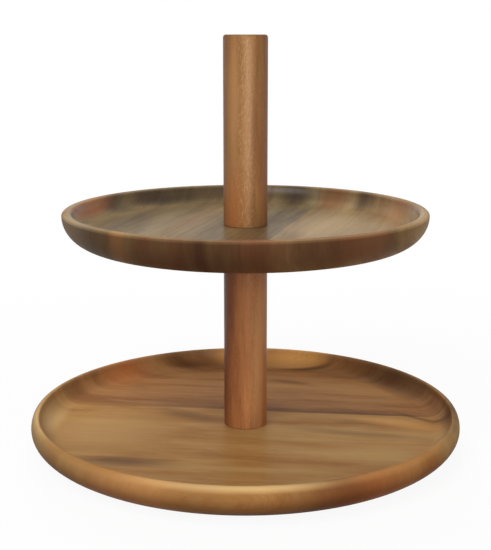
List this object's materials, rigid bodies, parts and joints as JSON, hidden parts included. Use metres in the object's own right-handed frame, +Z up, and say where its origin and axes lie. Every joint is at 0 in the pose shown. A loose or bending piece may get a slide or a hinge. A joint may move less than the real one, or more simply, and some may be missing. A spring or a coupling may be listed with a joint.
{
  "type": "tiered cake stand",
  "caption": "Wooden tiered cake stand: round coved dishes stacked on a screwed centre post, with a plain round handle on top for carrying and taking it apart.",
  "frame": {"origin": "on the post's axis, on the table, at the underside of the foot pads", "axes": "+Z up along the post, -Y towards the front as pictured, +X to the picture's right"},
  "size_m": [0.3, 0.3, 0.2835],
  "materials": {
    "lower_plate_wood": "satin lacquered acacia, grain from side to side",
    "upper_plate_wood": "satin lacquered acacia, darker boards, grain from front to back",
    "lower_post_wood": "satin lacquered wood, straight upright grain",
    "handle_wood": "satin lacquered wood, straight upright grain",
    "fastener_steel": "zinc-plated steel",
    "insert_zinc": "plated zinc alloy, dull",
    "pad_rubber": "matt soft rubber"
  },
  "bodies": {
    "base": {"lower_plate": "lower_plate_wood", "base_washer": "fastener_steel", "foot_pad_front_left": "pad_rubber", "foot_pad_front_right": "pad_rubber", "foot_pad_back_left": "pad_rubber", "foot_pad_back_right": "pad_rubber"},
    "base_bolt": {"base_bolt": "fastener_steel"},
    "post": {"lower_post": "lower_post_wood", "post_foot_insert": "insert_zinc", "post_head_insert": "insert_zinc"},
    "tier_stud": {"tier_stud": "fastener_steel"},
    "handle": {"handle": "handle_wood", "handle_insert": "insert_zinc"},
    "upper_tier": {"upper_plate": "upper_plate_wood"}
  },
  "joints": [
    {"name": "base_bolt_turn", "type": "hinge", "parent": "base", "child": "base_bolt", "pos_m": [0, 0, 0.0055], "axis": [0, 0, -1], "range_deg": [0, 5040]},
    {"name": "post_rise", "type": "slide", "parent": "base", "child": "post", "axis": [0, 0, 1], "range_m": [0, 0.0175]},
    {"name": "handle_turn", "type": "hinge", "parent": "post", "child": "tier_stud", "pos_m": [0, 0, 0.156], "axis": [0, 0, 1], "range_deg": [0, 5040]},
    {"name": "handle_rise", "type": "slide", "parent": "tier_stud", "child": "handle", "axis": [0, 0, 1], "range_m": [0, 0.0175]},
    {"name": "tier_swivel", "type": "hinge", "parent": "post", "child": "upper_tier", "pos_m": [0, 0, 0.144], "axis": [0, 0, 1], "continuous": true}
  ],
  "couplings": [
    {"joint": "base_bolt_turn", "follows": "post_rise", "rad_per_m": 5026.5},
    {"joint": "handle_rise", "follows": "handle_turn", "m_per_rad": 0.00019894}
  ]
}
